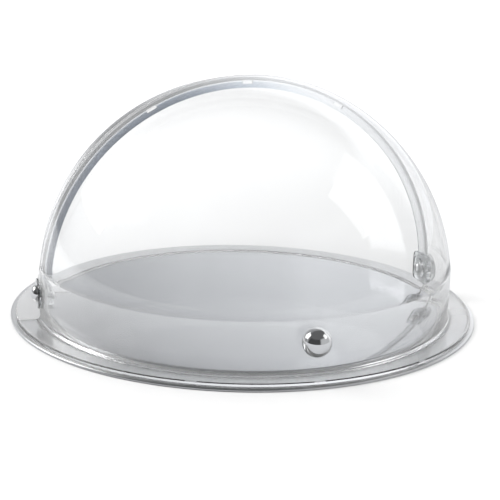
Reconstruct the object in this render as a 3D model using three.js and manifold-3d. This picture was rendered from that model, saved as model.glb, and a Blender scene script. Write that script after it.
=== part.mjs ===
// Round roll-top display cover on a steel tray.
// Millimetres, +Z up, front towards -Y. The tray's underside is on z = 0.
import * as THREE from 'three';
import { mergeVertices } from 'three/addons/utils/BufferGeometryUtils.js';
import Module from 'manifold-3d';

const wasm = await Module();
wasm.setup();

// ---- driving sizes -------------------------------------------------------
const ARC_STEPS = 15;          // straight sides of a shell's quarter circle
const RING_STEPS = 60;         // straight sides of every large circle
const BORE_STEPS = 24;         // straight sides of pivot parts
const SMALL_STEPS = 16;        // straight sides of knob fixings

const TRAY_RADIUS = 214;       // outside of the tray's rolled edge
const TRAY_EDGE_HEIGHT = 2.8;  // top of the rolled edge and of the land
const TRAY_SHEET = 1.0;        // steel thickness
const PLATE_RADIUS = 182.6;    // foot of the raised plate inside the cover
const PLATE_TOP = 5.4;         // top of the raised plate

const PIVOT_HEIGHT = 28.8;     // both shells are spheres round this height
const REAR_INSIDE = 185.4;     // rear shell, inner radius
const REAR_OUTSIDE = 187.8;    // rear shell, outer radius
const FRONT_INSIDE = 188.6;    // front shell, inner radius
const FRONT_OUTSIDE = 191.0;   // front shell, outer radius
const COLLAR_RADIUS = 190.0;   // upright collar round the front shell's foot
const COLLAR_RISE = 24.5;      // top of the collar above the pivots
const COLLAR_SLOPE = 2.5;      // height of the slope from the collar back to the sphere

const FLANGE_BOTTOM = 3.1;     // underside of both half flanges
const FLANGE_TOP = 4.9;        // top of both half flanges
const FRONT_FILLET = 4.0;      // radius between the front shell's collar and its flange
const REAR_FILLET = 1.5;       // radius between the rear shell's wall and its flange
const REAR_FLANGE_RADIUS = 209.5;
const FRONT_FLANGE_RADIUS = 210.5;
const BEAD_TOP = 5.9;          // raised bead along the front flange's edge
const BEAD_WIDTH = 3.6;
const SEAM_GAP = 0.25;         // each half flange stops this far from the seam
const EDGE_OVERLAP = 2.5;      // front shell's arch edge laps over the rear shell

const RIB_INSIDE = 178.8;      // arch rib of the rear shell, inner radius
const RIB_DEPTH = 3.2;         // arch rib, front to back
const RIB_FOOT = 15.0;         // rib stops this far above the pivots

const NOTCH_ANGLE = 28.5;      // degrees between the edge notches
const NOTCH_LENGTH = 10.0;
const NOTCH_RISE = 0.2;        // bead notches stop this far above the flange

const FRONT_EAR = 17.0;        // radius of the front shell's ear round a pivot
const REAR_EAR = 13.0;         // radius of the rear shell's ear round a pivot

const SCREW_RADIUS = 2.95;     // pivot screw shank
const SCREW_BORE = 3.05;       // hole for it
const BUSH_RADIUS = 5.0;       // sleeve the front shell turns on
const BUSH_BORE = 5.06;        // front shell's hole for the sleeve

const KNOB_RADIUS = 12.1;      // ball
const KNOB_CENTRE_Y = -199.5;
const KNOB_SEAT = 191.2;       // distance of the ball's flat from the middle
const KNOB_HEIGHT = 35.0;      // ball centre above z = 0

// ---- solids --------------------------------------------------------------
function toSolid(geometry) {
  geometry.deleteAttribute('normal');
  geometry.deleteAttribute('uv');
  const merged = mergeVertices(geometry, 1e-4);
  const mesh = new wasm.Mesh({
    numProp: 3,
    vertProperties: new Float32Array(merged.attributes.position.array),
    triVerts: new Uint32Array(merged.index.array),
  });
  return new wasm.Manifold(mesh);
}

function toGeometry(solid) {
  const mesh = solid.getMesh();
  const geometry = new THREE.BufferGeometry();
  const points = new Float32Array(mesh.vertProperties);
  geometry.setAttribute('position', new THREE.BufferAttribute(points, 3));
  geometry.setIndex(new THREE.BufferAttribute(new Uint32Array(mesh.triVerts), 1));
  geometry.computeVertexNormals();
  return geometry;
}

// A turned solid. Profile points are [radius, height], counter-clockwise
// (outwards along the bottom, up the outside, back along the top).
function turned(profile, steps) {
  const points = profile.map(([r, z]) => new THREE.Vector2(r, z));
  const geometry = new THREE.LatheGeometry(points, steps);
  geometry.rotateX(Math.PI / 2);
  return geometry;
}

function turnedSolid(profile, steps = RING_STEPS) {
  return toSolid(turned(profile, steps));
}

// The same, but lying along X, pointing to side +1 or -1. Heights become
// distances from the middle plane, on the line through both pivots.
function alongPivot(profile, side, steps = BORE_STEPS) {
  const geometry = turned(profile, steps);
  geometry.rotateY(side * Math.PI / 2);
  geometry.translate(0, 0, PIVOT_HEIGHT);
  return toSolid(geometry);
}

// The same, lying along -Y at the knob's height.
function alongKnob(profile, steps = SMALL_STEPS) {
  const geometry = turned(profile, steps);
  geometry.rotateX(Math.PI / 2);
  geometry.translate(0, 0, KNOB_HEIGHT);
  return toSolid(geometry);
}

function block(x0, x1, y0, y1, z0, z1) {
  const geometry = new THREE.BoxGeometry(x1 - x0, y1 - y0, z1 - z0);
  geometry.translate((x0 + x1) / 2, (y0 + y1) / 2, (z0 + z1) / 2);
  return toSolid(geometry);
}

function disc(radius, from, to) {
  return [[0, from], [radius, from], [radius, to], [0, to]];
}

function ring(inner, outer, from, to) {
  return [[inner, from], [outer, from], [outer, to], [inner, to], [inner, from]];
}

// Points of an arc round (r, z), from one angle to another, in degrees.
function arc(r, z, radius, fromDeg, toDeg, steps) {
  const points = [];
  for (let i = 0; i <= steps; i += 1) {
    const a = THREE.MathUtils.degToRad(fromDeg + (toDeg - fromDeg) * i / steps);
    points.push([r + radius * Math.cos(a), z + radius * Math.sin(a)]);
  }
  return points;
}

// Sphere profile round the pivot height, between a lower height and the top.
function sphereArc(radius, lowHeight, steps) {
  const low = THREE.MathUtils.radToDeg(Math.asin((lowHeight - PIVOT_HEIGHT) / radius));
  const points = arc(0, PIVOT_HEIGHT, radius, low, 90, steps);
  points[points.length - 1] = [0, PIVOT_HEIGHT + radius];
  return points;
}

function named(name, solid, colour, roughness, metalness, opacity = 1) {
  const material = new THREE.MeshStandardMaterial({ color: colour, roughness, metalness });
  if (opacity < 1) {
    material.transparent = true;
    material.opacity = opacity;
  }
  const mesh = new THREE.Mesh(toGeometry(solid), material);
  mesh.name = name;
  return mesh;
}

const clearPlastic = (name, solid) => named(name, solid, 0xe9eef1, 0.05, 0, 0.25);
const chromed = (name, solid) => named(name, solid, 0xdcdfe2, 0.06, 1);
const nylon = (name, solid) => named(name, solid, 0xe4e6e4, 0.45, 0);
const steel = (name, solid) => named(name, solid, 0xc9ccce, 0.22, 1);

// ---- tray ----------------------------------------------------------------
// One pressed sheet: raised plate, shoulder, land for the flanges, rolled edge.
function tray() {
  const roll = TRAY_EDGE_HEIGHT / 2;
  const rollRadius = TRAY_RADIUS - roll;
  const shoulder = PLATE_RADIUS - 1.8;
  const under = PLATE_TOP - TRAY_SHEET;
  const landUnder = TRAY_EDGE_HEIGHT - TRAY_SHEET;
  const profile = [
    [0, under],
    [shoulder - 1.2, under],
    [shoulder - 0.4, under - 0.3],
    [PLATE_RADIUS - 1.1, landUnder + 0.4],
    [PLATE_RADIUS - 0.3, landUnder],
    [rollRadius - roll * 0.92, landUnder],
    ...arc(rollRadius, roll, roll, 190, 230, 2),
    [rollRadius - 0.9, 0],
    [rollRadius + 0.9, 0],
    ...arc(rollRadius, roll, roll, 310, 450, 6),
    [PLATE_RADIUS + 0.7, TRAY_EDGE_HEIGHT],
    [PLATE_RADIUS - 0.2, TRAY_EDGE_HEIGHT + 0.5],
    [shoulder + 0.9, PLATE_TOP - 0.5],
    [shoulder - 0.6, PLATE_TOP],
    [0, PLATE_TOP],
  ];
  return steel('tray', turnedSolid(profile));
}

// ---- shells --------------------------------------------------------------
function rearProfile() {
  const filletTop = FLANGE_TOP + REAR_FILLET;
  const drop = filletTop - PIVOT_HEIGHT;
  const wall = Math.sqrt(REAR_OUTSIDE ** 2 - drop ** 2);
  const foot = Math.sqrt(REAR_INSIDE ** 2 - (FLANGE_BOTTOM - PIVOT_HEIGHT) ** 2);
  return [
    [foot, FLANGE_BOTTOM],
    [REAR_FLANGE_RADIUS - 0.6, FLANGE_BOTTOM],
    [REAR_FLANGE_RADIUS, FLANGE_BOTTOM + 0.6],
    [REAR_FLANGE_RADIUS, FLANGE_TOP - 0.8],
    [REAR_FLANGE_RADIUS - 0.8, FLANGE_TOP],
    ...arc(wall + REAR_FILLET, filletTop, REAR_FILLET, 270, 190, 4),
    ...sphereArc(REAR_OUTSIDE, filletTop, ARC_STEPS),
  ].concat(sphereArc(REAR_INSIDE, FLANGE_BOTTOM, ARC_STEPS).reverse());
}

function frontProfile() {
  const filletTop = FLANGE_TOP + FRONT_FILLET;
  const collarTop = PIVOT_HEIGHT + COLLAR_RISE;
  const beadInside = FRONT_FLANGE_RADIUS - BEAD_WIDTH;
  const foot = Math.sqrt(FRONT_INSIDE ** 2 - (FLANGE_BOTTOM - PIVOT_HEIGHT) ** 2);
  return [
    [foot, FLANGE_BOTTOM],
    [FRONT_FLANGE_RADIUS - 0.5, FLANGE_BOTTOM],
    [FRONT_FLANGE_RADIUS, FLANGE_BOTTOM + 0.5],
    [FRONT_FLANGE_RADIUS, BEAD_TOP - 1.2],
    [FRONT_FLANGE_RADIUS - 0.5, BEAD_TOP - 0.3],
    [FRONT_FLANGE_RADIUS - 1.4, BEAD_TOP],
    [beadInside + 1.1, (BEAD_TOP + FLANGE_TOP) / 2],
    [beadInside, FLANGE_TOP],
    ...arc(COLLAR_RADIUS + FRONT_FILLET, filletTop, FRONT_FILLET, 270, 180, 4),
    [COLLAR_RADIUS, collarTop - COLLAR_SLOPE],
    ...sphereArc(FRONT_OUTSIDE, collarTop, ARC_STEPS - 2),
  ].concat(sphereArc(FRONT_INSIDE, FLANGE_BOTTOM, ARC_STEPS).reverse());
}

function pivotCylinder(radius) {
  const geometry = new THREE.CylinderGeometry(radius, radius, 460, BORE_STEPS);
  geometry.rotateZ(Math.PI / 2);
  geometry.translate(0, 0, PIVOT_HEIGHT);
  return toSolid(geometry);
}

// Short bars that cut the three notches in the front shell's arch edge.
function archNotches() {
  return [-NOTCH_ANGLE, 0, NOTCH_ANGLE].map((degrees) => {
    const geometry = new THREE.BoxGeometry(NOTCH_LENGTH, 1.6, 8);
    geometry.translate(0, EDGE_OVERLAP, FRONT_OUTSIDE - 1.0);
    geometry.rotateY(THREE.MathUtils.degToRad(degrees));
    geometry.translate(0, 0, PIVOT_HEIGHT);
    return toSolid(geometry);
  });
}

// The same three notches along the top of the front flange's bead.
function flangeNotches() {
  return [-NOTCH_ANGLE, 0, NOTCH_ANGLE].map((degrees) => {
    const geometry = new THREE.BoxGeometry(NOTCH_LENGTH, 5, 4);
    geometry.translate(0, -FRONT_FLANGE_RADIUS, FLANGE_TOP + NOTCH_RISE + 2);
    geometry.rotateZ(THREE.MathUtils.degToRad(degrees));
    return toSolid(geometry);
  });
}

function rearShell() {
  const behind = block(-230, 230, SEAM_GAP, 230, 0, 240);
  let solid = turnedSolid(rearProfile()).intersect(behind.add(pivotCylinder(REAR_EAR)));
  const ribProfile = ring(RIB_INSIDE, (REAR_INSIDE + REAR_OUTSIDE) / 2, SEAM_GAP, RIB_DEPTH);
  const ribShape = turned(ribProfile, RING_STEPS);
  ribShape.rotateX(-Math.PI / 2);
  ribShape.translate(0, 0, PIVOT_HEIGHT);
  const above = block(-230, 230, -10, 10, PIVOT_HEIGHT + RIB_FOOT, 240);
  solid = solid.add(toSolid(ribShape).intersect(above));
  for (const side of [-1, 1]) {
    solid = solid.subtract(alongPivot(disc(SCREW_BORE, 150, 200), side));
  }
  return clearPlastic('rear_shell', solid);
}

function frontShell() {
  const lower = block(-230, 230, -230, -SEAM_GAP, 0, PIVOT_HEIGHT + 1);
  const upper = block(-230, 230, -230, EDGE_OVERLAP, PIVOT_HEIGHT, 240);
  const keep = lower.add(upper).add(pivotCylinder(FRONT_EAR));
  let solid = turnedSolid(frontProfile()).intersect(keep);
  for (const bar of archNotches()) {
    solid = solid.subtract(bar);
  }
  for (const bar of flangeNotches()) {
    solid = solid.subtract(bar);
  }
  for (const side of [-1, 1]) {
    solid = solid.subtract(alongPivot(disc(BUSH_BORE, 150, 200), side));
    solid = solid.subtract(alongPivot(disc(9.3, 150, 188.8), side));
  }
  solid = solid.subtract(alongKnob(disc(2.3, 170, 200)));
  return clearPlastic('front_shell', solid);
}

// ---- pivot parts, one set on each side -----------------------------------
function roundedPlate(width, height, corner, thickness) {
  const w = width / 2;
  const h = height / 2;
  const shape = new THREE.Shape();
  shape.moveTo(-w + corner, -h);
  shape.lineTo(w - corner, -h);
  shape.quadraticCurveTo(w, -h, w, -h + corner);
  shape.lineTo(w, h - corner);
  shape.quadraticCurveTo(w, h, w - corner, h);
  shape.lineTo(-w + corner, h);
  shape.quadraticCurveTo(-w, h, -w, h - corner);
  shape.lineTo(-w, -h + corner);
  shape.quadraticCurveTo(-w, -h, -w + corner, -h);
  const settings = { depth: thickness, bevelEnabled: false, curveSegments: 4 };
  return new THREE.ExtrudeGeometry(shape, settings);
}

function bracket(name, side) {
  const plate = roundedPlate(32, 27.4, 5, 7);
  plate.rotateX(Math.PI / 2);
  plate.rotateZ(Math.PI / 2);
  plate.translate(side > 0 ? 179.5 : -186.5, 0, PIVOT_HEIGHT);
  const ball = new THREE.SphereGeometry(REAR_INSIDE - 0.8, RING_STEPS, 30);
  ball.rotateX(Math.PI / 2);
  ball.translate(0, 0, PIVOT_HEIGHT);
  let solid = toSolid(plate).intersect(toSolid(ball));
  const boss = [[0, 178.5], [8.2, 178.5], [8.8, 178.9], [9.2, 179.8], [9.2, 182], [0, 182]];
  solid = solid.add(alongPivot(boss, side));
  solid = solid.subtract(alongPivot(disc(SCREW_BORE, 150, 200), side));
  return clearPlastic(name, solid);
}

function pivotScrew(name, side) {
  const profile = [
    [0, 174.8],
    [3.0, 174.9],
    [4.6, 175.6],
    [5.2, 176.7],
    [5.2, 177.4],
    [SCREW_RADIUS, 177.4],
    [SCREW_RADIUS, 195.6],
    [0, 195.6],
  ];
  const slot = new THREE.BoxGeometry(2, 1.2, 14);
  slot.translate(side * 174.9, 0, PIVOT_HEIGHT);
  return steel(name, alongPivot(profile, side).subtract(toSolid(slot)));
}

function innerWasher(name, side) {
  return steel(name, alongPivot(ring(SCREW_BORE, 6.4, 177.5, 178.4), side));
}

// Sleeve with a thin collar: the front shell turns on it.
function pivotBush(name, side) {
  const profile = [
    [SCREW_BORE, 187.9],
    [8.8, 187.9],
    [8.8, 188.5],
    [BUSH_RADIUS, 188.5],
    [BUSH_RADIUS, 190.6],
    [SCREW_BORE, 190.6],
    [SCREW_BORE, 187.9],
  ];
  return nylon(name, alongPivot(profile, side));
}

function outerDisc(name, side) {
  const profile = [
    [SCREW_BORE, 190.7],
    [13.6, 190.7],
    [13.6, 191.6],
    [12.9, 192.2],
    [SCREW_BORE, 192.2],
    [SCREW_BORE, 190.7],
  ];
  return clearPlastic(name, alongPivot(profile, side));
}

function capNut(name, side) {
  const profile = [
    [SCREW_BORE, 192.3],
    [7.5, 192.3],
    [7.5, 193.6],
    [7.1, 194.9],
    [5.8, 196.3],
    [3.8, 197.4],
    [1.9, 197.9],
    [0, 198.0],
    [0, 195.9],
    [SCREW_BORE, 195.9],
    [SCREW_BORE, 192.3],
  ];
  return chromed(name, alongPivot(profile, side));
}

// ---- knob ----------------------------------------------------------------
function knobBall() {
  const seat = -KNOB_CENTRE_Y - KNOB_SEAT;
  const start = THREE.MathUtils.radToDeg(Math.asin(-seat / KNOB_RADIUS));
  const skin = arc(0, -KNOB_CENTRE_Y, KNOB_RADIUS, start, 90, 10);
  skin[skin.length - 1] = [0, -KNOB_CENTRE_Y + KNOB_RADIUS];
  const profile = [
    [2.05, KNOB_SEAT],
    ...skin,
    [0, 200.1],
    [2.05, 200.1],
    [2.05, KNOB_SEAT],
  ];
  return chromed('knob_ball', alongKnob(profile, 28));
}

function knobOuterWasher() {
  return nylon('knob_outer_washer', alongKnob(ring(2.1, 6.2, 190.2, 191.1)));
}

function knobInnerWasher() {
  return nylon('knob_inner_washer', alongKnob(ring(2.1, 5.6, 187.0, 187.8)));
}

function knobScrew() {
  const profile = [
    [0, 184.5],
    [2.6, 184.6],
    [4.0, 185.3],
    [4.4, 186.2],
    [4.4, 186.9],
    [1.98, 186.9],
    [1.98, 199.7],
    [0, 199.7],
  ];
  return steel('knob_screw', alongKnob(profile));
}

// ---- assembly ------------------------------------------------------------
const assembly = new THREE.Group();
assembly.name = 'roll_top_cover_and_tray';
assembly.add(tray(), rearShell(), frontShell());
for (const [label, side] of [['left', -1], ['right', 1]]) {
  assembly.add(
    bracket(`pivot_bracket_${label}`, side),
    pivotScrew(`pivot_screw_${label}`, side),
    innerWasher(`pivot_inner_washer_${label}`, side),
    pivotBush(`pivot_bush_${label}`, side),
    outerDisc(`pivot_outer_disc_${label}`, side),
    capNut(`pivot_cap_nut_${label}`, side),
  );
}
assembly.add(knobBall(), knobOuterWasher(), knobInnerWasher(), knobScrew());

export default assembly;
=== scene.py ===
"""Roll-top display cover: two clear quarter-sphere shells on side pivots, over a polished steel tray.

Metres, +Z up, front towards -Y. Sizes below are in millimetres and turned into metres by MM.
"""

import math

import bmesh
import bpy
from mathutils import Matrix, Vector


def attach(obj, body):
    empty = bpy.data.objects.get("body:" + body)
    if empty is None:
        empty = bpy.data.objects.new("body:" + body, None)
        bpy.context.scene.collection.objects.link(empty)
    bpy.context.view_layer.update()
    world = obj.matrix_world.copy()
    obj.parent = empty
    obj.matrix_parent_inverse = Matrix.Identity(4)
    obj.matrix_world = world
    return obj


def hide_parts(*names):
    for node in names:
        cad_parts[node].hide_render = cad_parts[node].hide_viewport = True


MM = 0.001

# ---- sizes of the frame ------------------------------------------------------
PIVOT_HEIGHT = 28.8
TRAY_RADIUS = 214.0
TRAY_EDGE_HEIGHT = 2.8
PLATE_RADIUS = 182.6
PLATE_TOP = 5.4
SHEET = 1.0

REAR_INSIDE = 185.4
REAR_OUTSIDE = 187.8
FRONT_INSIDE = 188.6
FRONT_OUTSIDE = 191.0
COLLAR_RADIUS = 190.0
COLLAR_RISE = 24.5
COLLAR_SLOPE = 2.5
FLANGE_BOTTOM = 3.1
FLANGE_TOP = 4.9
FRONT_FILLET = 4.0
REAR_FILLET = 1.5
REAR_FLANGE_RADIUS = 209.5
FRONT_FLANGE_RADIUS = 210.5
BEAD_TOP = 5.9
BEAD_WIDTH = 3.6
SEAM_GAP = 0.25
EDGE_OVERLAP = 2.5
RIB_INSIDE = 178.8
RIB_DEPTH = 3.2
RIB_FOOT = 15.0
NOTCH_ANGLES = (-28.5, 0.0, 28.5)
NOTCH_LENGTH = 10.0
NOTCH_DEPTH = 0.8
BEAD_NOTCH_RISE = 0.2
RIB_NOTCH_RISE = 3.2
FRONT_EAR = 17.0
REAR_EAR = 13.0

# Where cutting tools end, past every piece.
BEYOND = 230.0

KNOB_RADIUS = 12.1
KNOB_CENTRE = 199.5
KNOB_HEIGHT = 35.0
KNOB_SEAT = 191.2
KNOB_SCREW_RADIUS = 1.98
KNOB_THREAD = 2.05
KNOB_WASHER_HOLE = 2.1
KNOB_SHELL_HOLE = 2.3

# Distances out along the pivot line, and radii and half sizes round it.
BOSS_FACE = 178.5
BOSS_RADIUS = 9.2
BRACKET_FACE = 179.5
BRACKET_BACK = 186.5
BRACKET_CORNER = 5.0
BRACKET_CORNER_ACROSS = 11.0
BRACKET_CORNER_UP = 8.7
SCREW_RADIUS = 2.95
SCREW_HOLE = 3.05
BUSH_RADIUS = 5.0
BUSH_HOLE = 5.06
BUSH_RECESS = 9.3
POCKET_RADIUS = 1.5
POCKET_FLOOR = 181.5
POCKETS_OUT = 12.5
POCKETS_UP = 8.5

RING_STEPS = 144

ACRYLIC_IOR = 1.49

# The arch rib's tint from its left foot to its right foot, which is painted shade: dark smoke blue on the
# left, clear on the right.
RIB_PAINTED_SHADE = [
    (0.0, (0.165, 0.18, 0.21, 1.0)),
    (0.3, (0.185, 0.22, 0.275, 1.0)),
    (0.5, (0.5, 0.56, 0.64, 1.0)),
    (0.68, (0.93, 0.95, 0.97, 1.0)),
    (1.0, (0.97, 0.98, 0.99, 1.0)),
]


# ---- node trees --------------------------------------------------------------
class Wire:
    """A socket's output, so that numbers can be worked out by plain expressions."""

    def __init__(self, tree, socket):
        self.tree = tree
        self.socket = socket

    def math(self, operation, first, second):
        return self.tree.node("ShaderNodeMath", {"operation": operation}, {0: first, 1: second})["Value"]

    def at_least(self, other):
        return self.math("MAXIMUM", self, other)

    def __add__(self, other):
        return self.math("ADD", self, other)

    def __radd__(self, other):
        return self.math("ADD", other, self)

    def __sub__(self, other):
        return self.math("SUBTRACT", self, other)

    def __rsub__(self, other):
        return self.math("SUBTRACT", other, self)

    def __mul__(self, other):
        return self.math("MULTIPLY", self, other)

    def __rmul__(self, other):
        return self.math("MULTIPLY", other, self)

    def __truediv__(self, other):
        return self.math("DIVIDE", self, other)

    def __rtruediv__(self, other):
        return self.math("DIVIDE", other, self)

    def __pow__(self, other):
        return self.math("POWER", self, other)

    def __rpow__(self, other):
        return self.math("POWER", other, self)


class Made:
    """A node, read by the names of its outputs."""

    def __init__(self, tree, node):
        self.tree = tree
        self.made = node

    def __getitem__(self, name):
        return Wire(self.tree, self.made.outputs[name])


class Tree:
    """A node tree under construction."""

    def __init__(self, tree):
        self.tree = tree
        self.tree.nodes.clear()

    def node(self, kind, settings=None, sockets=None):
        """Adds a node: its settings are set first, then the values or links of its sockets."""
        made = self.tree.nodes.new(kind)
        for name, value in (settings or {}).items():
            if name == "stops":
                self.set_stops(made.color_ramp, value)
            else:
                setattr(made, name, value)
        for name, value in (sockets or {}).items():
            if isinstance(value, Wire):
                self.tree.links.new(value.socket, made.inputs[name])
            else:
                made.inputs[name].default_value = value
        return Made(self, made)

    def set_stops(self, ramp, stops):
        while len(ramp.elements) > 1:
            ramp.elements.remove(ramp.elements[-1])
        ramp.elements[0].position, ramp.elements[0].color = stops[0]
        for position, colour in stops[1:]:
            ramp.elements.new(position).color = colour


# ---- turned, bent and cut meshes ---------------------------------------------
def arc(r, z, radius, start, end, steps):
    """Points (radius, height) of an arc round (r, z), angles in degrees."""
    turn = [math.radians(start + (end - start) * i / steps) for i in range(steps + 1)]
    return [(r + radius * math.cos(a), z + radius * math.sin(a)) for a in turn]


def sphere_arc(radius, low, steps):
    """Profile of a sphere round the pivot height, from the height low up to the axis."""
    start = math.degrees(math.asin((low - PIVOT_HEIGHT) / radius))
    return arc(0.0, PIVOT_HEIGHT, radius, start, 90.0, steps)[:-1] + [(0.0, PIVOT_HEIGHT + radius)]


def mesh_object(name, bm):
    """A linked object with bm as its mesh, doubles merged and faces pointing outwards."""
    bmesh.ops.remove_doubles(bm, verts=bm.verts, dist=1e-6)
    bmesh.ops.recalc_face_normals(bm, faces=bm.faces)
    mesh = bpy.data.meshes.new(name)
    bm.to_mesh(mesh)
    bm.free()
    made = bpy.data.objects.new(name, mesh)
    bpy.context.scene.collection.objects.link(made)
    return made


def turned(name, profile, steps=RING_STEPS, place=None):
    """A solid turned round Z. profile is a closed outline of (radius, height) in millimetres."""
    bm = bmesh.new()
    rows = []
    for r, z in profile:
        if r < 1e-6:
            rows.append([bm.verts.new((0.0, 0.0, z * MM))])
            continue
        row = []
        for i in range(steps):
            a = 2 * math.pi * i / steps
            row.append(bm.verts.new((r * MM * math.cos(a), r * MM * math.sin(a), z * MM)))
        rows.append(row)
    for k, low in enumerate(rows):
        high = rows[(k + 1) % len(rows)]
        if len(low) == 1 and len(high) == 1:
            continue
        for i in range(steps):
            j = (i + 1) % steps
            around = [low[i % len(low)], low[j % len(low)], high[j % len(high)], high[i % len(high)]]
            corners = list(dict.fromkeys(around))
            bm.faces.new(corners)
    if place is not None:
        bmesh.ops.transform(bm, matrix=place, verts=bm.verts)
    return mesh_object(name, bm)


def block(name, low, high, place=None):
    """A box from low to high, in millimetres."""
    bm = bmesh.new()
    bmesh.ops.create_cube(bm, size=1.0)
    size = [(b - a) * MM for a, b in zip(low, high)]
    middle = [(a + b) / 2 * MM for a, b in zip(low, high)]
    shape = Matrix.Translation(middle) @ Matrix.Diagonal((*size, 1.0))
    bmesh.ops.transform(bm, matrix=shape, verts=bm.verts)
    if place is not None:
        bmesh.ops.transform(bm, matrix=place, verts=bm.verts)
    return mesh_object(name, bm)


def settle(piece, modifier):
    """Keeps what the modifier makes of piece as its plain mesh, and takes the modifier off."""
    evaluated = piece.evaluated_get(bpy.context.evaluated_depsgraph_get())
    mesh = bpy.data.meshes.new_from_object(evaluated)
    piece.modifiers.remove(modifier)
    old = piece.data
    piece.data = mesh
    mesh.name = piece.name
    bpy.data.meshes.remove(old)


def carve(piece, tools, operation="DIFFERENCE"):
    """Cuts piece with each tool in turn, or joins or keeps what they share, and drops the tools."""
    for tool in tools:
        cut = piece.modifiers.new("cut", "BOOLEAN")
        cut.operation = operation
        cut.solver = "EXACT"
        cut.object = tool
        settle(piece, cut)
        bpy.data.meshes.remove(tool.data)
    return piece


def bent_bar_tree():
    """Node tree for a bar of rounded section that follows an arc. Returns it and its inputs by name."""
    group = bpy.data.node_groups.new("bent_bar", "GeometryNodeTree")
    kinds = {
        "Radius": "NodeSocketFloat",
        "Thickness": "NodeSocketFloat",
        "Depth": "NodeSocketFloat",
        "Corner": "NodeSocketFloat",
        "Start Angle": "NodeSocketFloat",
        "Sweep Angle": "NodeSocketFloat",
        "Steps": "NodeSocketInt",
        "Centre": "NodeSocketVector",
        "Finish": "NodeSocketMaterial",
    }
    inputs = {}
    for name, kind in kinds.items():
        inputs[name] = group.interface.new_socket(name=name, in_out="INPUT", socket_type=kind)
    group.interface.new_socket(name="Geometry", in_out="OUTPUT", socket_type="NodeSocketGeometry")
    t = Tree(group)
    given = t.node("NodeGroupInput")
    path = t.node(
        "GeometryNodeCurveArc",
        {"mode": "RADIUS"},
        {
            "Resolution": given["Steps"],
            "Radius": given["Radius"],
            "Start Angle": given["Start Angle"],
            "Sweep Angle": given["Sweep Angle"],
        },
    )["Curve"]
    square = t.node(
        "GeometryNodeCurvePrimitiveQuadrilateral",
        {"mode": "RECTANGLE"},
        {"Width": given["Thickness"], "Height": given["Depth"]},
    )["Curve"]
    section = t.node(
        "GeometryNodeFilletCurve",
        {"mode": "POLY"},
        {"Curve": square, "Radius": given["Corner"], "Count": 2},
    )["Curve"]
    lying = t.node(
        "GeometryNodeCurveToMesh",
        sockets={"Curve": path, "Profile Curve": section, "Fill Caps": True},
    )["Mesh"]
    upright = t.node(
        "GeometryNodeTransform",
        sockets={"Geometry": lying, "Translation": given["Centre"], "Rotation": (math.pi / 2, 0, 0)},
    )["Geometry"]
    real = t.node("GeometryNodeRealizeInstances", sockets={"Geometry": upright})["Geometry"]
    covered = t.node(
        "GeometryNodeSetMaterial",
        sockets={"Geometry": real, "Material": given["Finish"]},
    )["Geometry"]
    t.node("NodeGroupOutput", sockets={"Geometry": covered})
    return group, inputs


def smooth(piece, angle=32.0):
    """Rounds the shading, but keeps edges sharper than angle crisp."""
    for face in piece.data.polygons:
        face.use_smooth = True
    piece.data.set_sharp_from_angle(angle=math.radians(angle))
    return piece


def along_pivot(side):
    """Turns a piece made along Z to lie on the pivot line, pointing to side -1 or +1."""
    return Matrix.Translation((0, 0, PIVOT_HEIGHT * MM)) @ Matrix.Rotation(side * math.pi / 2, 4, "Y")


def along_arch(angle):
    """Tilts a piece above the pivot line by angle, in degrees, along the arch."""
    return Matrix.Translation((0, 0, PIVOT_HEIGHT * MM)) @ Matrix.Rotation(math.radians(angle), 4, "Y")


def along_knob():
    """Turns a piece made along Z to lie on the knob's line, pointing to the front."""
    return Matrix.Translation((0, 0, KNOB_HEIGHT * MM)) @ Matrix.Rotation(math.pi / 2, 4, "X")


def disc(radius, start, end):
    """A plain round bar's outline, from start to end along its axis."""
    return [(0, start), (radius, start), (radius, end), (0, end)]


def ring(inner, outer, start, end, edge=0.12):
    """A flat ring's outline with its outer corners eased by edge."""
    return [
        (inner, start),
        (outer - edge, start),
        (outer, start + edge),
        (outer, end - edge),
        (outer - edge, end),
        (inner, end),
    ]


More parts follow.
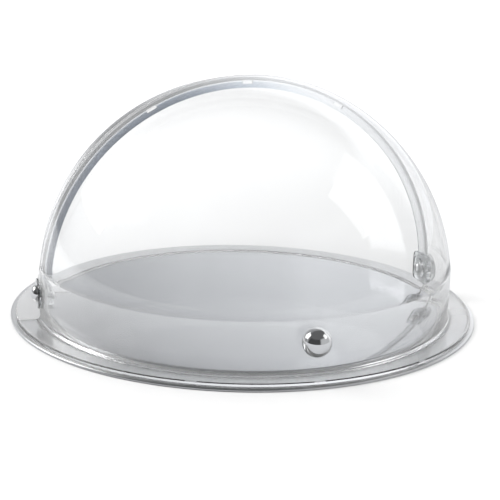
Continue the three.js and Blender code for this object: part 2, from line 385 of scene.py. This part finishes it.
# ---- materials ---------------------------------------------------------------
class Finish(Tree):
    """One material or world under construction."""

    def __init__(self, owner):
        owner.use_nodes = True
        super().__init__(owner.node_tree)
        self.owner = owner

    def place(self):
        return self.node("ShaderNodeTexCoord")["Object"]

    def axes(self, where):
        return self.node("ShaderNodeSeparateXYZ", sockets={"Vector": where})

    def noise(self, where, scale, detail=2.0, roughness=0.5):
        return self.node(
            "ShaderNodeTexNoise",
            sockets={"Vector": where, "Scale": scale, "Detail": detail, "Roughness": roughness},
        )["Fac"]

    def stretched(self, where, scale):
        return self.node("ShaderNodeMapping", sockets={"Vector": where, "Scale": scale})["Vector"]

    def blend(self, amount, low, high):
        """Colour between low and high."""
        return self.node(
            "ShaderNodeMix",
            {"data_type": "RGBA"},
            {"Factor": amount, "A": low, "B": high},
        )["Result"]

    def step(self, value, start, end):
        """Runs from 0 at start to 1 at end."""
        spots = {"Value": value, "From Min": start, "From Max": end}
        return self.node("ShaderNodeMapRange", {"interpolation_type": "SMOOTHSTEP"}, spots)["Result"]

    def frosted(self, shader, amount):
        """Lets amount of a milky white show over shader."""
        white = {"Color": grey(0.93)}
        front = self.node("ShaderNodeBsdfDiffuse", sockets=white)["BSDF"]
        behind = self.node("ShaderNodeBsdfTranslucent", sockets=white)["BSDF"]
        milk = self.node("ShaderNodeMixShader", sockets={0: 0.4, 1: front, 2: behind})["Shader"]
        return self.node("ShaderNodeMixShader", sockets={0: amount, 1: shader, 2: milk})["Shader"]

    def bump(self, height, distance, strength=1.0):
        return self.node(
            "ShaderNodeBump", sockets={"Height": height, "Distance": distance, "Strength": strength}
        )["Normal"]

    def shadow_passes(self, shader, passed):
        """Lets shadow rays straight through shader, tinted by passed."""
        through = self.node("ShaderNodeBsdfTransparent", sockets={"Color": passed})["BSDF"]
        shadow = self.node("ShaderNodeLightPath")["Is Shadow Ray"]
        return self.node("ShaderNodeMixShader", sockets={0: shadow, 1: shader, 2: through})["Shader"]

    def finish(self, shader):
        """Ends the material with shader, and returns it."""
        self.node("ShaderNodeOutputMaterial", sockets={"Surface": shader})
        return self.owner


def grey(level):
    return (level, level, level, 1.0)


def dimmed(colour, share):
    return (colour[0] * share, colour[1] * share, colour[2] * share, 1.0)


def new_finish(name):
    return Finish(bpy.data.materials.new(name))


def flange_haze(f, axis):
    """1 on the flat flange, 0 on the wall above it."""
    return 1.0 - f.step(axis["Z"], (FLANGE_TOP + 0.1) * MM, (FLANGE_TOP + 0.5) * MM)


def rear_frost(f, where):
    """The sawn edge that meets the front shell, and the rubbed flange."""
    axis = f.axes(where)
    edge = 1.0 - f.step(axis["Y"], (SEAM_GAP + 0.05) * MM, (SEAM_GAP + 0.25) * MM)
    return edge * 0.75 + (1.0 - edge) * flange_haze(f, axis) * 0.2


def front_frost(f, where):
    """The sawn edge over the rear shell, and the rubbed collar, most rubbed near the left pivot; extra
    milk on the collar's right and on the flange's sides, most on the right, is painted light.
    """
    axis = f.axes(where)
    collar_top = (PIVOT_HEIGHT + COLLAR_RISE) * MM
    collar = 1.0 - f.step(axis["Z"], collar_top - 0.6 * MM, collar_top)
    leftmost = 1.0 - f.step(axis["X"], -0.185, -0.1)
    # Painted light: extra milk on the collar's right side to lighten it.
    right_painted_light = f.step(axis["X"], 0.02, 0.12)
    lap = f.step(axis["Y"], (EDGE_OVERLAP - 0.25) * MM, (EDGE_OVERLAP - 0.05) * MM)
    notch_floor = EDGE_OVERLAP - NOTCH_DEPTH
    notched = f.step(axis["Y"], (notch_floor - 0.06) * MM, (notch_floor - 0.02) * MM)
    notched = notched * (1.0 - f.step(axis["Y"], (notch_floor + 0.02) * MM, (notch_floor + 0.06) * MM))
    edge = lap + notched
    flange = flange_haze(f, axis)
    # Painted light: milk on the flange's sides, growing towards the right, and none at the front.
    flange_painted_light = f.step(axis["Y"], -0.17, -0.04) * (0.04 + f.step(axis["X"], -0.1, 0.15) * 0.24)
    collar_milk = 0.04 + leftmost * 0.1 + right_painted_light * 0.06
    return edge * 0.7 + (1.0 - edge) * (flange * flange_painted_light + (collar - flange) * collar_milk)


def clear_plastic(name, tint, passed, roughness=0.004, frost=None):
    """Polished clear plastic: faint moulding waves, fine rubbing marks, real refraction.

    passed colours the light in its shadow, and frost says how milky it is from place to place.
    """
    f = new_finish(name)
    where = f.place()
    waves = f.noise(where, 7.0, 1.0)
    rubbed = f.noise(where, 30.0, 2.0)
    cast = f.step(f.axes(where)["X"] + (waves - 0.5) * 0.05, 0.0, 0.16)
    body = f.node(
        "ShaderNodeBsdfPrincipled",
        sockets={
            "Base Color": f.blend(cast, tint, dimmed(tint, 0.945)),
            "Roughness": roughness + rubbed * 0.01,
            "IOR": ACRYLIC_IOR,
            "Transmission Weight": 1.0,
            "Normal": f.bump(waves, 2.0 * MM, 0.25),
        },
    )["BSDF"]
    if frost is not None:
        body = f.frosted(body, frost(f, where))
    return f.finish(f.shadow_passes(body, passed))


def rib_plastic(name):
    """The arch rib's clear plastic with painted shade: deep smoke blue on the left and fading to clear
    past the crown.
    """
    f = new_finish(name)
    where = f.place()
    axis = f.axes(where)
    across = axis["X"]
    height = axis["Z"] - PIVOT_HEIGHT * MM
    radius = (across * across + height * height) ** 0.5
    outer = f.step(radius, (RIB_INSIDE + 4.5) * MM, (RIB_INSIDE + 5.7) * MM)
    streaks = f.noise(f.stretched(where, (8.0, 90.0, 8.0)), 4.0, 2.0)
    # The tint is painted shade, darkest at the left foot and clear past the crown; the outermost edge
    # stays clear.
    tint = f.node(
        "ShaderNodeValToRGB",
        {"stops": RIB_PAINTED_SHADE},
        {"Fac": (across + 0.19) / 0.38 + (streaks - 0.5) * 0.06},
    )["Color"]
    glass = f.node(
        "ShaderNodeBsdfPrincipled",
        sockets={
            "Base Color": f.blend(outer, tint, (0.93, 0.95, 0.97, 1)),
            "Roughness": 0.06 + streaks * 0.06,
            "IOR": ACRYLIC_IOR,
            "Transmission Weight": 1.0,
        },
    )["BSDF"]
    body = f.frosted(glass, f.step(across, 0.03, 0.15) * 0.2)
    return f.finish(f.shadow_passes(body, grey(0.85)))


def tray_steel(name):
    """Polished plate with soft smears, inside a spun rim of rougher steel whose fine rings run round the
    tray; the rim has painted shade, dark at the front and light behind.
    """
    f = new_finish(name)
    where = f.place()
    without_height = {0: where, 1: (1.0, 1.0, 0.0)}
    flat = f.node("ShaderNodeVectorMath", {"operation": "MULTIPLY"}, without_height)["Vector"]
    radius = f.node("ShaderNodeVectorMath", {"operation": "LENGTH"}, {0: flat})["Value"]
    rim = f.step(radius, (PLATE_RADIUS - 1.5) * MM, (PLATE_RADIUS + 0.5) * MM)
    # Painted shade: the rim's steel colour runs from dark at the front to light behind.
    behind = f.step(f.axes(where)["Y"], -0.17, 0.0)
    rim_tone_with_painted_shade = f.blend(behind, grey(0.64), grey(0.94))
    smears = f.noise(where, 11.0, 3.0)
    plate = f.blend(smears, (0.54, 0.546, 0.558, 1), (0.575, 0.58, 0.59, 1))
    along = f.node("ShaderNodeCombineXYZ", sockets={"X": radius})["Vector"]
    rings = f.noise(along, 2600.0, 2.0)
    metal = f.node(
        "ShaderNodeBsdfPrincipled",
        sockets={
            "Base Color": f.blend(rim, plate, rim_tone_with_painted_shade),
            "Metallic": 1.0,
            "Roughness": 0.075 + smears * 0.03 + rim * 0.2,
            "Normal": f.bump(rings * rim, 0.14 * MM),
        },
    )["BSDF"]
    return f.finish(metal)


def bright_steel(name):
    """Turned screw heads and washers."""
    f = new_finish(name)
    grain = f.noise(f.place(), 600.0, 3.0)
    metal = f.node(
        "ShaderNodeBsdfPrincipled",
        sockets={
            "Base Color": f.blend(grain, grey(0.8), grey(0.88)),
            "Metallic": 1.0,
            "Roughness": 0.28 + grain * 0.15,
            "Normal": f.bump(grain, 0.02 * MM, 0.3),
        },
    )["BSDF"]
    return f.finish(metal)


def mirror_chrome(name):
    """Bright plating with the faintest haze and pitting."""
    f = new_finish(name)
    haze = f.noise(f.place(), 160.0, 3.0)
    metal = f.node(
        "ShaderNodeBsdfPrincipled",
        sockets={
            "Base Color": f.blend(haze, grey(0.76), grey(0.84)),
            "Metallic": 1.0,
            "Roughness": 0.02 + haze * 0.04,
            "Normal": f.bump(haze, 0.01 * MM, 0.3),
        },
    )["BSDF"]
    return f.finish(metal)


def natural_nylon(name):
    """Slightly waxy off-white plastic with a fine grain."""
    f = new_finish(name)
    grain = f.noise(f.place(), 900.0, 3.0)
    plastic = f.node(
        "ShaderNodeBsdfPrincipled",
        sockets={
            "Base Color": f.blend(grain, (0.72, 0.73, 0.72, 1), (0.82, 0.83, 0.82, 1)),
            "Roughness": 0.35 + grain * 0.2,
            "Subsurface Weight": 0.1,
            "Subsurface Radius": (0.001, 0.001, 0.001),
            "Normal": f.bump(grain, 0.05 * MM, 0.4),
        },
    )["BSDF"]
    return f.finish(plastic)


# ---- pieces ------------------------------------------------------------------
def tray():
    """One pressed sheet: raised plate, land for the flange, rolled edge."""
    roll = TRAY_EDGE_HEIGHT / 2
    middle = TRAY_RADIUS - roll
    shoulder = PLATE_RADIUS - 1.8
    under = PLATE_TOP - SHEET
    land_under = TRAY_EDGE_HEIGHT - SHEET
    outline = [(0, under), (shoulder - 1.4, under)]
    outline += [(shoulder - 0.8, under - 0.1), (shoulder - 0.4, under - 0.3)]
    outline += [(PLATE_RADIUS - 1.1, land_under + 0.4), (PLATE_RADIUS - 0.3, land_under)]
    outline += [(middle - roll * 0.92, land_under)]
    outline += arc(middle, roll, roll, 196, 236, 4)
    outline += [(middle - 0.9, 0.0), (middle + 0.9, 0.0)]
    outline += arc(middle, roll, roll, 304, 450, 14)
    outline += [(PLATE_RADIUS + 0.7, TRAY_EDGE_HEIGHT), (PLATE_RADIUS + 0.1, TRAY_EDGE_HEIGHT + 0.15)]
    outline += [(PLATE_RADIUS - 0.4, TRAY_EDGE_HEIGHT + 0.6), (shoulder + 1.0, PLATE_TOP - 0.7)]
    outline += [(shoulder + 0.3, PLATE_TOP - 0.2), (shoulder - 0.8, PLATE_TOP), (0, PLATE_TOP)]
    return smooth(turned("tray_sheet", outline, 192), 40)


def ear(radius):
    """A round bar along the pivot line, for the round ears that the shells keep there."""
    return turned("ear", disc(radius, -BEYOND, BEYOND), 96, along_pivot(1))


def rear_shell():
    """The fixed quarter sphere with its half flange and pivot ears."""
    fillet_top = FLANGE_TOP + REAR_FILLET
    wall = math.sqrt(REAR_OUTSIDE**2 - (fillet_top - PIVOT_HEIGHT) ** 2)
    foot = math.sqrt(REAR_INSIDE**2 - (FLANGE_BOTTOM - PIVOT_HEIGHT) ** 2)
    edge = REAR_FLANGE_RADIUS
    outline = [(foot, FLANGE_BOTTOM), (edge - 0.5, FLANGE_BOTTOM), (edge, FLANGE_BOTTOM + 0.5)]
    outline += arc(edge - 0.9, FLANGE_TOP - 0.9, 0.9, 0, 90, 4)
    outline += arc(wall + REAR_FILLET, fillet_top, REAR_FILLET, 270, 188, 18)
    outline += sphere_arc(REAR_OUTSIDE, fillet_top + 0.5, 40)
    outline += sphere_arc(REAR_INSIDE, FLANGE_BOTTOM, 42)[::-1][:-1]
    shell = turned("rear_shell_clear", outline)
    keep = block("behind", (-BEYOND, SEAM_GAP, 0), (BEYOND, BEYOND, BEYOND))
    carve(keep, [ear(REAR_EAR)], "UNION")
    carve(shell, [keep], "INTERSECT")
    holes = [turned("hole", disc(SCREW_HOLE, 150, 200), 48, along_pivot(side)) for side in (-1, 1)]
    return smooth(carve(shell, holes))


def arch_rib(finish):
    """The inward rib along the rear shell's front edge, from just above one pivot to the other."""
    outside = REAR_INSIDE - 0.05
    middle = (RIB_INSIDE + outside) / 2
    start = math.asin(RIB_FOOT / middle)
    tree, inputs = bent_bar_tree()
    values = {
        "Radius": middle * MM,
        "Thickness": (outside - RIB_INSIDE) * MM,
        "Depth": (RIB_DEPTH - SEAM_GAP) * MM,
        "Corner": 0.4 * MM,
        "Start Angle": start,
        "Sweep Angle": math.pi - 2 * start,
        "Steps": 120,
        "Centre": (0.0, (RIB_DEPTH + SEAM_GAP) / 2 * MM, PIVOT_HEIGHT * MM),
        "Finish": finish,
    }
    rib = mesh_object("rear_arch_rib", bmesh.new())
    bend = rib.modifiers.new("bend", "NODES")
    bend.node_group = tree
    for name, value in values.items():
        bend[inputs[name].identifier] = value
    settle(rib, bend)
    low, high = (-NOTCH_LENGTH / 2, -1, RIB_INSIDE + RIB_NOTCH_RISE), (NOTCH_LENGTH / 2, 10, 190)
    cuts = [block("rib_notch", low, high, along_arch(angle)) for angle in NOTCH_ANGLES]
    return smooth(carve(rib, cuts), 40)


def front_shell():
    """The moving quarter sphere with its collar, beaded half flange and notches."""
    fillet_top = FLANGE_TOP + FRONT_FILLET
    collar_top = PIVOT_HEIGHT + COLLAR_RISE
    foot = math.sqrt(FRONT_INSIDE**2 - (FLANGE_BOTTOM - PIVOT_HEIGHT) ** 2)
    edge = FRONT_FLANGE_RADIUS
    bead_round = 1.2
    fall_steps = 24
    outline = [(foot, FLANGE_BOTTOM), (edge - 0.4, FLANGE_BOTTOM), (edge, FLANGE_BOTTOM + 0.4)]
    outline += arc(edge - bead_round, BEAD_TOP - bead_round, bead_round, 0, 90, 18)
    for i in range(1, fall_steps + 1):
        inward = (BEAD_WIDTH - bead_round) * i / fall_steps
        fall = (1 + math.cos(math.pi * i / fall_steps)) / 2
        outline.append((edge - bead_round - inward, FLANGE_TOP + (BEAD_TOP - FLANGE_TOP) * fall))
    outline += arc(COLLAR_RADIUS + FRONT_FILLET, fillet_top, FRONT_FILLET, 270, 180, 20)
    outline += [(COLLAR_RADIUS, collar_top - COLLAR_SLOPE)]
    outline += sphere_arc(FRONT_OUTSIDE, collar_top, 36)
    outline += sphere_arc(FRONT_INSIDE, FLANGE_BOTTOM, 42)[::-1][:-1]
    shell = turned("front_shell_clear", outline)
    keep = block("before", (-BEYOND, -BEYOND, 0), (BEYOND, -SEAM_GAP, PIVOT_HEIGHT + 1))
    upper = block("upper", (-BEYOND, -BEYOND, PIVOT_HEIGHT), (BEYOND, EDGE_OVERLAP, BEYOND))
    carve(keep, [upper, ear(FRONT_EAR)], "UNION")
    carve(shell, [keep], "INTERSECT")
    cuts = []
    half = NOTCH_LENGTH / 2
    for angle in NOTCH_ANGLES:
        low, high = (-half, EDGE_OVERLAP - NOTCH_DEPTH, 185), (half, EDGE_OVERLAP + NOTCH_DEPTH, 193)
        cuts.append(block("arch_notch", low, high, along_arch(angle)))
        low, high = (-half, -edge - 2, FLANGE_TOP + BEAD_NOTCH_RISE), (half, -edge + 2.5, BEAD_TOP + 2)
        cuts.append(block("bead_notch", low, high, Matrix.Rotation(math.radians(angle), 4, "Z")))
    for side in (-1, 1):
        cuts.append(turned("hole", disc(BUSH_HOLE, 150, 200), 64, along_pivot(side)))
        cuts.append(turned("recess", disc(BUSH_RECESS, 150, 188.8), 64, along_pivot(side)))
    cuts.append(turned("knob_hole", disc(KNOB_SHELL_HOLE, 170, 200), 32, along_knob()))
    # The low angle keeps the bead's and the collar's edges crisp.
    return smooth(carve(shell, cuts), 5.5)


def pivot_parts(label, side):
    """One side's bracket, screw, washer, bush, disc and cap nut, by name."""
    place = along_pivot(side)
    parts = {"bracket": bracket_block(f"pivot_bracket_{label}_clear", side)}
    screw = [(0, 174.8), (2.8, 174.85), (4.0, 175.3), (4.8, 176.0), (5.2, 176.8), (5.2, 177.3)]
    screw += [(5.1, 177.4), (SCREW_RADIUS, 177.4), (SCREW_RADIUS, 195.4), (2.7, 195.6), (0, 195.6)]
    slot = block("slot", (-8, -0.6, 173), (8, 0.6, 175.9), place)
    parts["screw"] = smooth(carve(turned(f"pivot_screw_{label}_fine", screw, 64, place), [slot]))
    washer = ring(SCREW_HOLE, 6.4, 177.5, 178.4, 0.2)
    parts["washer"] = smooth(turned(f"pivot_inner_washer_{label}_fine", washer, 64, place))
    bush = [(SCREW_HOLE, 187.9), (8.8, 187.9), (8.8, 188.5)]
    bush += [(BUSH_RADIUS, 188.5), (BUSH_RADIUS, 190.6), (SCREW_HOLE, 190.6)]
    parts["bush"] = smooth(turned(f"pivot_bush_{label}_fine", bush, 64, place))
    plate = [(SCREW_HOLE, 190.7), (13.4, 190.7), (13.6, 190.9), (13.6, 191.5)]
    plate += arc(12.9, 191.5, 0.7, 0, 90, 4)[1:] + [(SCREW_HOLE, 192.2)]
    parts["disc"] = smooth(turned(f"pivot_outer_disc_{label}_clear", plate, 64, place))
    nut = [(SCREW_HOLE, 192.3), (7.3, 192.3), (7.5, 192.5), (7.5, 193.6), (7.3, 194.3), (6.8, 195.1)]
    nut += [(5.9, 196.0), (4.8, 196.8), (3.4, 197.4), (1.8, 197.85), (0, 198.0)]
    nut += [(0, 195.9), (SCREW_HOLE, 195.9)]
    parts["nut"] = smooth(turned(f"pivot_cap_nut_{label}_fine", nut, 64, place))
    return parts


def bracket_block(name, side):
    """Rounded clear block against the shell, with a round boss and shallow pockets."""
    bm = bmesh.new()
    outline = []
    for x, y, start in ((1, -1, -90), (1, 1, 0), (-1, 1, 90), (-1, -1, 180)):
        corner = (x * BRACKET_CORNER_ACROSS, y * BRACKET_CORNER_UP)
        outline += arc(*corner, BRACKET_CORNER, start, start + 90, 6)
    face = [bm.verts.new((x * MM, y * MM, BRACKET_FACE * MM)) for x, y in outline]
    back = [bm.verts.new((x * MM, y * MM, BRACKET_BACK * MM)) for x, y in outline]
    bm.faces.new(face)
    bm.faces.new(back)
    for i in range(len(face)):
        j = (i + 1) % len(face)
        bm.faces.new((face[i], face[j], back[j], back[i]))
    turn = along_pivot(side) @ Matrix.Rotation(math.pi / 2, 4, "Z")
    bmesh.ops.transform(bm, matrix=turn, verts=bm.verts)
    made = mesh_object(name, bm)
    ball = turned("ball", arc(0, PIVOT_HEIGHT, REAR_INSIDE - 0.7, -90, 90, 64), 128)
    carve(made, [ball], "INTERSECT")
    boss = [(0, BOSS_FACE), (8.0, BOSS_FACE), (8.5, BOSS_FACE + 0.15), (8.9, BOSS_FACE + 0.5)]
    boss += [(BOSS_RADIUS, BOSS_FACE + 1.3), (BOSS_RADIUS, 182), (0, 182)]
    carve(made, [turned("boss", boss, 64, along_pivot(side))], "UNION")
    cuts = [turned("hole", disc(SCREW_HOLE, 150, 200), 48, along_pivot(side))]
    for y in (-POCKETS_OUT, POCKETS_OUT):
        for z in (-POCKETS_UP, 0, POCKETS_UP):
            spot = Matrix.Translation((0, y * MM, z * MM)) @ along_pivot(side)
            cuts.append(turned("pocket", disc(POCKET_RADIUS, 150, POCKET_FLOOR), 24, spot))
    return smooth(carve(made, cuts))


def knob_ball():
    """The ball, flat where it sits on the shell's washer, with its blind screw hole."""
    seat = math.degrees(math.asin((KNOB_SEAT - KNOB_CENTRE) / KNOB_RADIUS))
    outline = [(KNOB_THREAD, KNOB_SEAT)] + arc(0, KNOB_CENTRE, KNOB_RADIUS, seat, 90, 40)[:-1]
    outline += [(0, KNOB_CENTRE + KNOB_RADIUS), (0, 200.1), (KNOB_THREAD, 200.1)]
    return smooth(turned("knob_ball_fine", outline, 96, along_knob()))


def knob_screw():
    """The slotted screw from inside the shell into the ball."""
    outline = [(0, 184.5), (2.4, 184.55), (3.5, 185.0), (4.2, 185.7), (4.4, 186.4), (4.4, 186.9)]
    outline += [(KNOB_SCREW_RADIUS, 186.9), (KNOB_SCREW_RADIUS, 199.5), (1.8, 199.7), (0, 199.7)]
    slot = block("slot", (-6, -0.5, 183), (6, 0.5, 185.4), along_knob())
    return smooth(carve(turned("knob_screw_fine", outline, 48, along_knob()), [slot]))


def knob_washer(name, radius, start, end):
    return smooth(turned(name, ring(KNOB_WASHER_HOLE, radius, start, end, 0.2), 48, along_knob()))


# ---- stage -------------------------------------------------------------------
def floor():
    """Pale painted floor, a little greyer near the tray as painted shade, and darker still in mirrors."""
    bm = bmesh.new()
    bmesh.ops.create_grid(bm, x_segments=1, y_segments=1, size=6.0)
    made = mesh_object("floor", bm)
    f = new_finish("pale_floor")
    where = f.place()
    speckle = f.noise(where, 40.0, 2.0)
    away = f.node("ShaderNodeVectorMath", {"operation": "LENGTH"}, {0: where})["Value"]
    # Painted shade: the floor's paint turns greyer near the tray.
    near = f.blend(speckle, grey(0.79), grey(0.81))
    far = f.blend(speckle, grey(0.92), grey(0.93))
    paint = f.blend(f.step(away, 0.3, 0.9), near, far)
    seen = f.node("ShaderNodeBsdfDiffuse", sockets={"Color": paint})["BSDF"]
    mirrored = f.node("ShaderNodeBsdfDiffuse", sockets={"Color": (0.55, 0.56, 0.58, 1)})["BSDF"]
    path = f.node("ShaderNodeLightPath")
    reflected = path["Is Glossy Ray"] * (1.0 - path["Is Transmission Ray"])
    surface = f.node("ShaderNodeMixShader", sockets={0: reflected, 1: seen, 2: mirrored})["Shader"]
    made.data.materials.append(f.finish(surface))


def studio():
    """White light on the floor; in reflections a pale wall behind and to the right, and a dark room."""
    world = bpy.data.worlds.new("studio")
    world.cycles.sampling_method = "NONE"
    bpy.context.scene.world = world
    w = Finish(world)
    axis = w.axes(w.node("ShaderNodeTexCoord")["Generated"])
    right, back, up = axis["X"], axis["Y"], axis["Z"]
    brighter_right = {"Value": 1.04 + (right - 0.31) * 2.1, "Min": 0.45, "Max": 1.16}
    wall = w.node("ShaderNodeClamp", sockets=brighter_right)["Result"]
    side = 0.07 + w.step(right, 0.0, 0.3) * 0.5
    around = side + (wall - side) * w.step(back, -0.1, 0.3)
    level = around + (0.14 - around) * w.step(up, 0.56, 0.7)
    path = w.node("ShaderNodeLightPath")
    shown = level + (level.at_least(0.3) - level) * path["Is Transmission Ray"]
    # Half the level and twice the colour, because a mix stops at 1.
    tone = w.blend(shown * 0.5, (0, 0, 0, 1), (1.94, 1.97, 2.02, 1))
    room = w.node("ShaderNodeBackground", sockets={"Color": tone, "Strength": 1.0})["Background"]
    light = w.node("ShaderNodeBackground", sockets={"Color": grey(1.0), "Strength": 1.22})["Background"]
    both = w.node("ShaderNodeMixShader", sockets={0: path["Is Diffuse Ray"], 1: room, 2: light})["Shader"]
    w.node("ShaderNodeOutputWorld", sockets={"Surface": both})


def softbox(name, turn, rise, distance, size, radiance):
    """A square lamp facing the cover. turn is its bearing from the front, towards the right."""
    turn, rise = math.radians(turn), math.radians(rise)
    way = Vector((math.sin(turn) * math.cos(rise), -math.cos(turn) * math.cos(rise), math.sin(rise)))
    light = bpy.data.lights.new(name, "AREA")
    light.shape = "SQUARE"
    light.size = size
    light.energy = radiance * math.pi * size**2
    lamp = bpy.data.objects.new(name, light)
    lamp.location = way * distance
    lamp.rotation_euler = way.to_track_quat("Z", "Y").to_euler()
    bpy.context.scene.collection.objects.link(lamp)


def camera():
    """Standing a little to the left of the knob and above the tray, on a long lens."""
    distance, turn, rise = 1.3161, math.radians(17.51), math.radians(17.93)
    place = distance * Vector(
        (-math.sin(turn) * math.cos(rise), -math.cos(turn) * math.cos(rise), math.sin(rise))
    )
    ahead = -place.normalized()
    right = ahead.cross(Vector((0, 0, 1))).normalized()
    up = right.cross(ahead)
    pitch, swing, roll = math.radians(2.41), math.radians(0.24), math.radians(1.34)
    ahead = math.cos(pitch) * ahead + math.sin(pitch) * up
    up = right.cross(ahead)
    ahead = math.cos(swing) * ahead + math.sin(swing) * right
    right = ahead.cross(up)
    across = math.cos(roll) * right + math.sin(roll) * up
    upright = -math.sin(roll) * right + math.cos(roll) * up
    axes = Matrix((across, upright, -ahead)).transposed()
    data = bpy.data.cameras.new("camera")
    data.sensor_width = 36.0
    data.lens = 101.2
    data.clip_end = 50.0
    made = bpy.data.objects.new("camera", data)
    made.matrix_world = Matrix.Translation(place) @ axes.to_4x4()
    bpy.context.scene.collection.objects.link(made)
    bpy.context.scene.camera = made


# ---- assembly ----------------------------------------------------------------
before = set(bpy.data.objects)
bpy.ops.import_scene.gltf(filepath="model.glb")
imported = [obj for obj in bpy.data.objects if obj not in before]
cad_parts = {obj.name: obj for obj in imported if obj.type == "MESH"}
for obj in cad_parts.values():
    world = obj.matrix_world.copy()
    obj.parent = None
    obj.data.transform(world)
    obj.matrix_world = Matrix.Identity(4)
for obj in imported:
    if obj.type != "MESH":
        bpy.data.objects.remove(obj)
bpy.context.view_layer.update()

shell_tint = (0.99, 0.993, 0.995, 1)
rear_clear = clear_plastic("rear_acrylic", shell_tint, grey(0.96), frost=rear_frost)
front_clear = clear_plastic("front_acrylic", shell_tint, grey(0.96), frost=front_frost)
bracket_clear = clear_plastic("bracket_acrylic", (0.93, 0.95, 0.96, 1), grey(0.9), 0.05)
rib_clear = rib_plastic("rib_acrylic")
steel = tray_steel("tray_polish")
screw_steel = bright_steel("screw_bright")
chrome = mirror_chrome("mirror_plate")
nylon = natural_nylon("nylon_turned")


def fit(piece, body, finish, slot, *nodes):
    """Gives piece its finish, and lets it ride on body in place of the CAD's nodes; slot is not used."""
    piece.data.materials.clear()
    piece.data.materials.append(finish)
    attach(piece, body)
    if nodes:
        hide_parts(*nodes)


fit(tray(), "tray", steel, "tray_steel", "tray")
fit(rear_shell(), "cover", rear_clear, "clear_rear_shell", "rear_shell")
fit(arch_rib(rib_clear), "cover", rib_clear, "clear_rear_shell")
fit(front_shell(), "front", front_clear, "clear_front_shell", "front_shell")
for label, side in (("left", -1), ("right", 1)):
    parts = pivot_parts(label, side)
    fit(parts["bracket"], "cover", bracket_clear, "clear_bracket", f"pivot_bracket_{label}")
    fit(parts["screw"], "cover", screw_steel, "screw_steel", f"pivot_screw_{label}")
    fit(parts["washer"], "cover", screw_steel, "screw_steel", f"pivot_inner_washer_{label}")
    fit(parts["bush"], "cover", nylon, "nylon", f"pivot_bush_{label}")
    fit(parts["disc"], "cover", bracket_clear, "clear_disc", f"pivot_outer_disc_{label}")
    fit(parts["nut"], "cover", chrome, "chrome", f"pivot_cap_nut_{label}")
fit(knob_ball(), "front", chrome, "chrome", "knob_ball")
fit(knob_screw(), "front", screw_steel, "screw_steel", "knob_screw")
outer_washer = knob_washer("knob_outer_washer_fine", 6.2, 190.2, 191.1)
inner_washer = knob_washer("knob_inner_washer_fine", 5.6, 187.0, 187.8)
fit(outer_washer, "front", nylon, "nylon", "knob_outer_washer")
fit(inner_washer, "front", nylon, "nylon", "knob_inner_washer")

floor()
studio()
softbox("key_left", -123, 35, 1.7, 1.0, 3.0)
softbox("fill_right", 68, 38, 1.7, 0.75, 1.0)
camera()
bpy.context.scene.view_settings.view_transform = "Standard"
